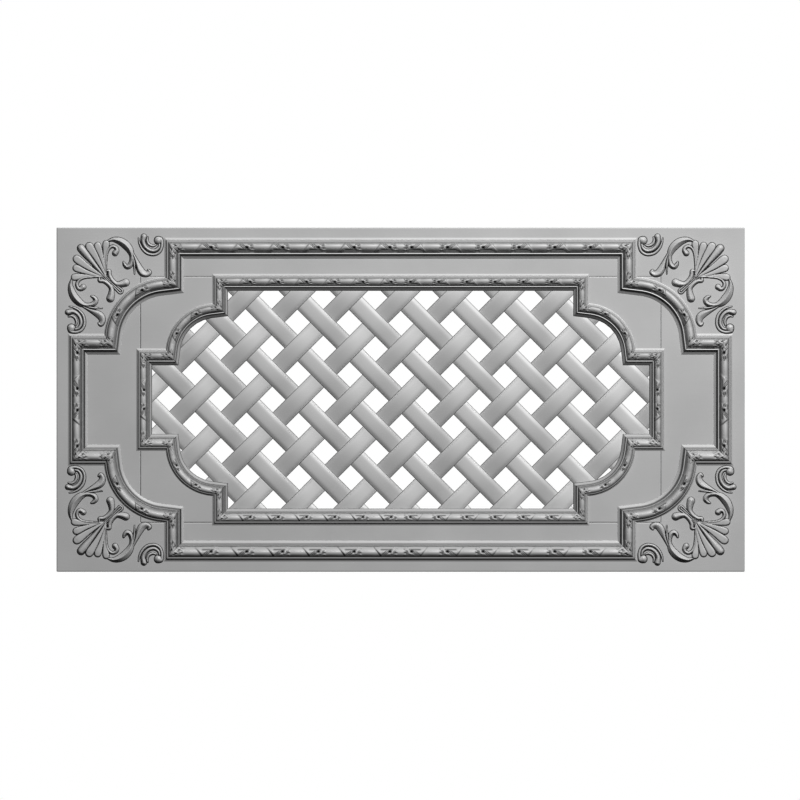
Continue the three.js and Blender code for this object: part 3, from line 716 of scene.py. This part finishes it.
def clip_and_close(x, z, outline, surface):
    """Cut a triangulated grid where the outline is 0 and close it with walls and a flat back."""
    outline = np.where(np.abs(outline) < 1e-4, -1e-4, outline)
    spread = surface.copy()
    for _ in range(2):
        neighbours = np.stack([np.roll(spread, shift, axis) for shift in (1, -1) for axis in (0, 1)])
        spread = np.where(spread > 0, spread, neighbours.max(axis=0))
    flat_x, flat_z = x.ravel(), z.ravel()
    level, lift = outline.ravel(), spread.ravel()
    index = np.arange(x.size).reshape(x.shape)
    a, b = index[:-1, :-1].ravel(), index[1:, :-1].ravel()
    c, d = index[1:, 1:].ravel(), index[:-1, 1:].ravel()
    triangles = np.vstack([np.stack([a, b, c], -1), np.stack([a, c, d], -1)])
    inside = level[triangles] < 0
    kept = [triangles[inside.all(axis=1)]]
    cut_pairs = {}
    extra = []

    def cut_point(i, j):
        key = (min(i, j), max(i, j))
        if key not in cut_pairs:
            share = level[key[0]] / (level[key[0]] - level[key[1]])
            cut_pairs[key] = x.size + len(extra)
            extra.append([value[key[0]] + (value[key[1]] - value[key[0]]) * share
                          for value in (flat_x, flat_z, lift)])
        return cut_pairs[key]

    clipped = []
    for triangle, within in zip(triangles, inside):
        count = within.sum()
        if count in (0, 3):
            continue
        first = int(np.argmax(within)) if count == 1 else int(np.argmin(within))
        p, q, r = np.roll(triangle, -first)
        if count == 1:
            clipped.append((p, cut_point(p, q), cut_point(p, r)))
        else:
            one, two = cut_point(p, q), cut_point(p, r)
            clipped.append((one, q, r))
            clipped.append((one, r, two))
    faces = np.vstack([kept[0], np.array(clipped)])
    flat = np.vstack([np.stack([flat_x, flat_z, lift], -1), np.array(extra)])
    used, faces = np.unique(faces, return_inverse=True)
    faces = faces.reshape(-1, 3)
    top = flat[used]
    count = len(top)
    base = top.copy()
    base[:, 2] = 0
    edges = np.vstack([faces[:, [0, 1]], faces[:, [1, 2]], faces[:, [2, 0]]])
    keys = edges[:, 0].astype(np.int64) * count + edges[:, 1]
    back = edges[:, 1].astype(np.int64) * count + edges[:, 0]
    rim = edges[~np.isin(keys, back)]
    walls = np.vstack([np.stack([rim[:, 1], rim[:, 0], rim[:, 0] + count], -1),
                       np.stack([rim[:, 1], rim[:, 0] + count, rim[:, 1] + count], -1)])
    everything = np.vstack([faces, faces[:, ::-1] + count, walls])
    return np.vstack([top, base]), everything


# %% [markdown]
# ## Four corners from one carving
#
# The corners are mirror images of each other, so each carving is worked out once and turned over for
# the others. Turning a mesh over also turns its faces inside out, so they are reversed wherever one
# of the two directions is flipped alone.


# %% Painted shade of a carving
HOLLOW_DEPTH = 0.75             # a point this far below its neighbours is fully dark
SMOOTHINGS = 3
QUIRK_SHADE = (2.4, 0.8)         # painted shade round a carving's foot, from none to full


def painted_shade_of(points, faces):
    """Painted shade: darker where a point lies lower than the points round it, and round the foot."""
    lift = points[:, 2]
    total = np.zeros(len(points))
    count = np.zeros(len(points))
    near = lift.copy()
    for _ in range(SMOOTHINGS):
        total[:] = 0
        count[:] = 0
        for i, j in ((0, 1), (1, 2), (2, 0)):
            np.add.at(total, faces[:, i], near[faces[:, j]])
            np.add.at(total, faces[:, j], near[faces[:, i]])
            np.add.at(count, faces[:, i], 1)
            np.add.at(count, faces[:, j], 1)
        near = total / np.maximum(count, 1)
    quirk = soft_step(*QUIRK_SHADE, lift)
    return np.clip((near - lift) / HOLLOW_DEPTH + quirk, 0, 1)


def corner_piece(name, node, carving, offset=0):
    """Place a carving in the corner that its solid's name gives."""
    points, faces, painted_shade = carving
    right = -1 if "_left" in node else 1
    up = 1 if "_top" in node else -1
    x = right * (PANEL_WIDTH / 2 - offset - points[:, 0])
    z = up * (PANEL_HEIGHT / 2 - points[:, 1])
    places = np.stack([x, FRONT - points[:, 2], z], axis=-1)
    outward = faces if right * up > 0 else faces[:, ::-1]
    mesh = make_mesh(name, places, outward, painted_shade, sharp=75)
    place(name, mesh, carving_paint, [node])


def carve(strokes, height, spacing):
    points, faces = relief_mesh(strokes, height, spacing)
    return points, faces, painted_shade_of(points, faces)


# %% Carve the corners
PALMETTE_GRID = 0.78
SCROLL_GRID = 0.6
whole_palmette = [MIDDLE_PETAL, STEM, *HALF_PALMETTE, *map(turned, HALF_PALMETTE)]
turned_scroll = [turned(stroke, SHORT_SCROLL_SHIFT) for stroke in SCROLL]
palmette = carve(whole_palmette, PALMETTE_HEIGHT, PALMETTE_GRID)
long_scroll = carve(SCROLL, SCROLL_HEIGHT, SCROLL_GRID)
short_scroll = carve(turned_scroll, SCROLL_HEIGHT, SCROLL_GRID)
for corner in ("top_left", "top_right", "bottom_left", "bottom_right"):
    corner_piece(f"carved_palmette_{corner}", f"palmette_{corner}", palmette, PALMETTE_OFFSET)
    corner_piece(f"carved_scroll_{corner}_long", f"scroll_{corner}_long_edge", long_scroll)
    corner_piece(f"carved_scroll_{corner}_short", f"scroll_{corner}_short_edge", short_scroll)

# %% [markdown]
# ## The woven lattice
#
# Thin slats run both ways at 45 degrees and pass over and under each other. They repeat by a plain
# rule, which is what Geometry Nodes are for: one closed strip is copied for every slat, then each
# point is moved to where the weave puts it. The ends are cut to the lattice's rectangle by letting
# the strip run only between the two edges that its own line meets. The slats that rise to the right
# lie a little wider apart than those that fall, and their middle slat stands off the centre.

# %% Sizes of the lattice
SLAT_WIDTH = 32.5
RISING_PITCH = 64.4
FALLING_PITCH = 63.1
RISING_SHIFT = -2.8             # from the centre to the middle rising slat, up and to the left
SLAT_THICKNESS = 3
SLAT_CROWN = 1.0
SLAT_EDGE_FALL = 1.9            # how far a slat's face is rounded over at its edges
SLAT_EDGE_SHARE = 0.36          # the rounded share of each half of its width
SLAT_RIM = 0.95                 # where a slat's painted shade along its rim starts, as a share of half its width
SLAT_RIM_SHADE = 0.8
WEAVE_RISE = 3.6
UNEVENNESS = 0.6                # how far a slat may lie from its place, from one side to the other
CHANCE_SEED = 7
SLAT_STEPS = 104                # points along a slat and across it
SLAT_LINES = 17
LATTICE_PLAY = 0.2              # how much smaller the woven slats' rectangle is than the solids'
slat_names = sorted(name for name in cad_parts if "_slat_" in name)
slat_boxes = [box_of(name) for name in slat_names]
lattice_low = np.min([low for low, _ in slat_boxes], axis=0)
lattice_high = np.max([high for _, high in slat_boxes], axis=0)
LATTICE_WIDTH = lattice_high[0] - lattice_low[0]
LATTICE_HEIGHT = lattice_high[2] - lattice_low[2]
LATTICE_DEPTH = lattice_high[1] - WEAVE_RISE - SLAT_THICKNESS / 2
SLAT_COUNT = sum(name.startswith("rising") for name in slat_names)
print(f"lattice {LATTICE_WIDTH:.0f} x {LATTICE_HEIGHT:.0f} mm, {SLAT_COUNT} slats each way")


# %% A small helper for node sums
class Sums:
    """Writes Math nodes as calls, so that a formula in the tree reads like a formula."""

    def __init__(self, tree):
        self.tree = tree

    def __call__(self, operation, *values):
        node = self.tree.nodes.new("ShaderNodeMath")
        node.operation = operation
        for socket, value in zip(node.inputs, values):
            if isinstance(value, (int, float)):
                socket.default_value = value
            else:
                self.tree.links.new(value, socket)
        return node.outputs[0]


# %% The slat tree
def slat_tree():
    tree = bpy.data.node_groups.new("woven slats", "GeometryNodeTree")
    sizes = ("Pitch", "Shift", "Crossing Pitch", "First Crossing", "Slat Width", "Thickness", "Crown",
             "Edge Fall", "Rise", "Lattice Width", "Lattice Height", "Depth", "Lean", "Unevenness")
    tree.interface.new_socket("Slats", in_out="INPUT", socket_type="NodeSocketInt")
    for name in sizes:
        tree.interface.new_socket(name, in_out="INPUT", socket_type="NodeSocketFloat")
    tree.interface.new_socket("Paint", in_out="INPUT", socket_type="NodeSocketMaterial")
    tree.interface.new_socket("Geometry", in_out="OUTPUT", socket_type="NodeSocketGeometry")
    nodes, links = tree.nodes, tree.links
    given = nodes.new("NodeGroupInput").outputs
    math_of = Sums(tree)

    strip = nodes.new("GeometryNodeMeshCube")
    strip.inputs["Size"].default_value = (1, 1, 1)
    strip.inputs["Vertices X"].default_value = SLAT_STEPS
    strip.inputs["Vertices Y"].default_value = SLAT_LINES
    strip.inputs["Vertices Z"].default_value = 2
    seeds = nodes.new("GeometryNodeMeshLine")
    seeds.inputs["Offset"].default_value = (0, 0, 0)
    links.new(given["Slats"], seeds.inputs["Count"])
    number = nodes.new("GeometryNodeInputIndex")
    keep = nodes.new("GeometryNodeStoreNamedAttribute")
    keep.data_type = "INT"
    keep.domain = "POINT"
    keep.inputs["Name"].default_value = "slat"
    links.new(seeds.outputs["Mesh"], keep.inputs["Geometry"])
    links.new(number.outputs["Index"], keep.inputs["Value"])
    copies = nodes.new("GeometryNodeInstanceOnPoints")
    links.new(keep.outputs["Geometry"], copies.inputs["Points"])
    links.new(strip.outputs["Mesh"], copies.inputs["Instance"])
    real = nodes.new("GeometryNodeRealizeInstances")
    links.new(copies.outputs["Instances"], real.inputs["Geometry"])

    slat = nodes.new("GeometryNodeInputNamedAttribute")
    slat.data_type = "INT"
    slat.inputs["Name"].default_value = "slat"
    chance = nodes.new("FunctionNodeRandomValue")
    chance.data_type = "FLOAT"
    chance.inputs["Seed"].default_value = CHANCE_SEED
    links.new(slat.outputs["Attribute"], chance.inputs["ID"])
    wobble = math_of("MULTIPLY", math_of("SUBTRACT", chance.outputs[1], 0.5), given["Unevenness"])
    where = nodes.new("GeometryNodeInputPosition")
    parts = nodes.new("ShaderNodeSeparateXYZ")
    links.new(where.outputs["Position"], parts.inputs["Vector"])
    run = math_of("ADD", parts.outputs["X"], 0.5)
    across = math_of("SINE", math_of("MULTIPLY", parts.outputs["Y"], math.pi))
    last = math_of("SUBTRACT", given["Slats"], 1)
    order = math_of("SUBTRACT", slat.outputs["Attribute"], math_of("MULTIPLY", last, 0.5))
    stray = math_of("ADD", wobble, given["Shift"])
    line = math_of("ADD", math_of("MULTIPLY", order, given["Pitch"]), stray)
    half_width = math_of("MULTIPLY", given["Slat Width"], 0.5)
    sideways = math_of("ADD", line, math_of("MULTIPLY", across, half_width))

    diagonal = math.sqrt(0.5)
    wide = math_of("MULTIPLY", given["Lattice Width"], diagonal)
    tall = math_of("MULTIPLY", given["Lattice Height"], diagonal)
    finish = math_of("MINIMUM", math_of("ADD", sideways, wide), math_of("SUBTRACT", tall, sideways))
    start = math_of("MAXIMUM", math_of("SUBTRACT", sideways, wide),
                    math_of("SUBTRACT", math_of("MULTIPLY", tall, -1), sideways))
    along = math_of("ADD", start, math_of("MULTIPLY", run, math_of("SUBTRACT", finish, start)))
    from_first = math_of("SUBTRACT", along, given["First Crossing"])
    turns = math_of("ADD", math_of("DIVIDE", from_first, given["Crossing Pitch"]), order)
    wave = math_of("COSINE", math_of("MULTIPLY", turns, math.pi))
    swing = math_of("MULTIPLY", math_of("MULTIPLY", wave, given["Rise"]), given["Lean"])
    aside = math_of("ABSOLUTE", across)
    fall = math_of("MULTIPLY", math_of("MULTIPLY", across, across), given["Crown"])
    ease = math_of("MAXIMUM", math_of("SUBTRACT", aside, 1 - SLAT_EDGE_SHARE), 0)
    ease = math_of("DIVIDE", ease, SLAT_EDGE_SHARE)
    fall = math_of("ADD", fall, math_of("MULTIPLY", ease, given["Edge Fall"]))
    crown = math_of("SUBTRACT", given["Crown"], fall)
    front = math_of("GREATER_THAN", parts.outputs["Z"], 0)
    half = math_of("MULTIPLY", given["Thickness"], 0.5)
    ahead = math_of("MULTIPLY", math_of("ADD", math_of("ADD", half, crown), half), front)
    depth = math_of("SUBTRACT", math_of("SUBTRACT", math_of("ADD", given["Depth"], half), ahead), swing)

    x = math_of("MULTIPLY", math_of("SUBTRACT", along, sideways), diagonal)
    x = math_of("MULTIPLY", x, given["Lean"])
    z = math_of("MULTIPLY", math_of("ADD", along, sideways), diagonal)
    target = nodes.new("ShaderNodeCombineXYZ")
    links.new(x, target.inputs["X"])
    links.new(depth, target.inputs["Y"])
    links.new(z, target.inputs["Z"])
    move = nodes.new("GeometryNodeSetPosition")
    links.new(target.outputs["Vector"], move.inputs["Position"])
    rim = nodes.new("GeometryNodeStoreNamedAttribute")
    rim.data_type = "FLOAT"
    rim.domain = "POINT"
    rim.inputs["Name"].default_value = "painted_shade"
    links.new(real.outputs["Geometry"], rim.inputs["Geometry"])
    # painted shade along each slat's rim
    on_rim = math_of("GREATER_THAN", aside, SLAT_RIM)
    links.new(math_of("MULTIPLY", on_rim, SLAT_RIM_SHADE), rim.inputs["Value"])
    links.new(rim.outputs["Geometry"], move.inputs["Geometry"])
    paint = nodes.new("GeometryNodeSetMaterial")
    links.new(move.outputs["Geometry"], paint.inputs["Geometry"])
    links.new(given["Paint"], paint.inputs["Material"])
    out = nodes.new("NodeGroupOutput")
    links.new(paint.outputs["Geometry"], out.inputs["Geometry"])
    return tree


# %% Weave the slats
woven = slat_tree()


def weave(name, lean, pitch, shift, crossing_pitch, first_crossing, nodes):
    """One direction of the lattice as a plain mesh."""
    carrier = bpy.data.objects.new(name, bpy.data.meshes.new(name))
    bpy.context.scene.collection.objects.link(carrier)
    modifier = carrier.modifiers.new("weave", "NODES")
    modifier.node_group = woven
    values = {
        "Slats": SLAT_COUNT, "Pitch": pitch, "Shift": shift, "Crossing Pitch": crossing_pitch,
        "First Crossing": first_crossing, "Slat Width": SLAT_WIDTH, "Thickness": SLAT_THICKNESS,
        "Crown": SLAT_CROWN, "Edge Fall": SLAT_EDGE_FALL, "Rise": WEAVE_RISE,
        "Lattice Width": LATTICE_WIDTH - LATTICE_PLAY, "Lattice Height": LATTICE_HEIGHT - LATTICE_PLAY,
        "Depth": LATTICE_DEPTH, "Lean": lean, "Unevenness": UNEVENNESS, "Paint": lattice_paint,
    }
    for socket in woven.interface.items_tree:
        if socket.in_out == "INPUT":
            value = values[socket.name]
            if socket.socket_type == "NodeSocketFloat":
                value = float(value)
            modifier[socket.identifier] = value
    bpy.context.view_layer.update()
    ready = carrier.evaluated_get(bpy.context.evaluated_depsgraph_get())
    mesh = bpy.data.meshes.new_from_object(ready)
    bpy.data.objects.remove(carrier)
    mesh.name = name
    mesh.transform(Matrix.Scale(MM, 4))
    mesh.transform(Matrix.Translation((MIDDLE_X * MM, 0, MIDDLE_Z * MM)))
    work = bmesh.new()
    work.from_mesh(mesh)
    bmesh.ops.recalc_face_normals(work, faces=work.faces)
    work.to_mesh(mesh)
    work.free()
    mesh.shade_smooth()
    mesh.set_sharp_from_angle(angle=math.radians(50))
    place(name, mesh, lattice_paint, nodes)


weave("woven_rising_slats", 1.0, RISING_PITCH, RISING_SHIFT, FALLING_PITCH, 0,
      [name for name in slat_names if name.startswith("rising")])
weave("woven_falling_slats", -1.0, FALLING_PITCH, 0, RISING_PITCH, RISING_SHIFT,
      [name for name in slat_names if name.startswith("falling")])

# %% [markdown]
# ## Studio
#
# The panel is seen square on, as a catalogue picture shows it, against plain white. One soft light
# comes from the upper right front, which gives every carved edge a bright and a dark side. A large
# glowing sheet stands behind the panel and lights its back and the edges of the slats. The camera
# doesn't see the sheet, so it hides nothing when the panel is looked at from behind. The white round
# the panel is the world's, and it is only for the eye: as light it is kept very low.

# %% Camera
PHOTO_WIDTH = 1.3954            # metres that the photograph's width covers at the panel
PHOTO_SHIFT = (-0.0011, -0.0006)
CAMERA_DISTANCE = 4
FARTHEST = 50                   # what the camera still sees, in metres

lens = bpy.data.cameras.new("camera")
lens.type = "ORTHO"
lens.ortho_scale = PHOTO_WIDTH
lens.clip_end = FARTHEST
camera = bpy.data.objects.new("camera", lens)
camera.location = (MIDDLE_X * MM + PHOTO_SHIFT[0], -CAMERA_DISTANCE, MIDDLE_Z * MM + PHOTO_SHIFT[1])
camera.rotation_euler = (math.radians(90), 0, 0)
bpy.context.scene.collection.objects.link(camera)
bpy.context.scene.camera = camera
print(f"the camera sees {PHOTO_WIDTH:.3f} m across")

# %% Glowing sheet and light
SHEET_BEHIND = 0.7              # metres behind the panel's back
SHEET_HALF = 1.2
LIGHT_PLACE = (1.64, -4.29, 3.38)
LIGHT_SIZE = 0.5
LIGHT_POWER = 642
SURROUND_LIGHT = 0.01           # what the white round the panel adds as light
PRINT_GAMMA = 0.72              # the photograph is printed with deep shadows

glow = bpy.data.materials.new("back light")
glow.use_nodes = True
shader = glow.node_tree.nodes["Principled BSDF"]
for socket, value in (("Base Color", (0, 0, 0, 1)), ("Roughness", 1), ("Specular IOR Level", 0),
                      ("Emission Color", (1, 1, 1, 1)), ("Emission Strength", 1)):
    shader.inputs[socket].default_value = value
low_edge, high_edge = MIDDLE_Z * MM - SHEET_HALF, MIDDLE_Z * MM + SHEET_HALF
corners = [(-SHEET_HALF, SHEET_BEHIND, low_edge), (SHEET_HALF, SHEET_BEHIND, low_edge),
           (SHEET_HALF, SHEET_BEHIND, high_edge), (-SHEET_HALF, SHEET_BEHIND, high_edge)]
mesh = bpy.data.meshes.new("back light")
mesh.from_pydata(corners, [], [(0, 1, 2, 3)])
mesh.materials.append(glow)
sheet = bpy.data.objects.new("back light", mesh)
bpy.context.scene.collection.objects.link(sheet)
sheet.visible_camera = False

light = bpy.data.lights.new("key", "AREA")
light.shape = "SQUARE"
light.size = LIGHT_SIZE
light.energy = LIGHT_POWER
light.use_shadow = False
lamp = bpy.data.objects.new("key", light)
lamp.location = LIGHT_PLACE
aim = np.array([MIDDLE_X * MM, 0, MIDDLE_Z * MM]) - np.array(LIGHT_PLACE)
lamp.rotation_euler = Vector(aim).to_track_quat("-Z", "Y").to_euler()
bpy.context.scene.collection.objects.link(lamp)
print(f"one light of {LIGHT_POWER} W and a glowing sheet {2 * SHEET_HALF:.1f} m square")

# %% The white round the panel
world = bpy.data.worlds.new("studio")
world.use_nodes = True
backdrop = world.node_tree.nodes["Background"]
backdrop.inputs["Color"].default_value = (1, 1, 1, 1)
rays = world.node_tree.nodes.new("ShaderNodeLightPath")
white = world.node_tree.nodes.new("ShaderNodeMath")
white.operation = "MAXIMUM"
white.inputs[1].default_value = SURROUND_LIGHT
world.node_tree.links.new(rays.outputs["Is Camera Ray"], white.inputs[0])
world.node_tree.links.new(white.outputs["Value"], backdrop.inputs["Strength"])
bpy.context.scene.world = world
bpy.context.scene.view_settings.view_transform = "Standard"
bpy.context.scene.view_settings.gamma = PRINT_GAMMA
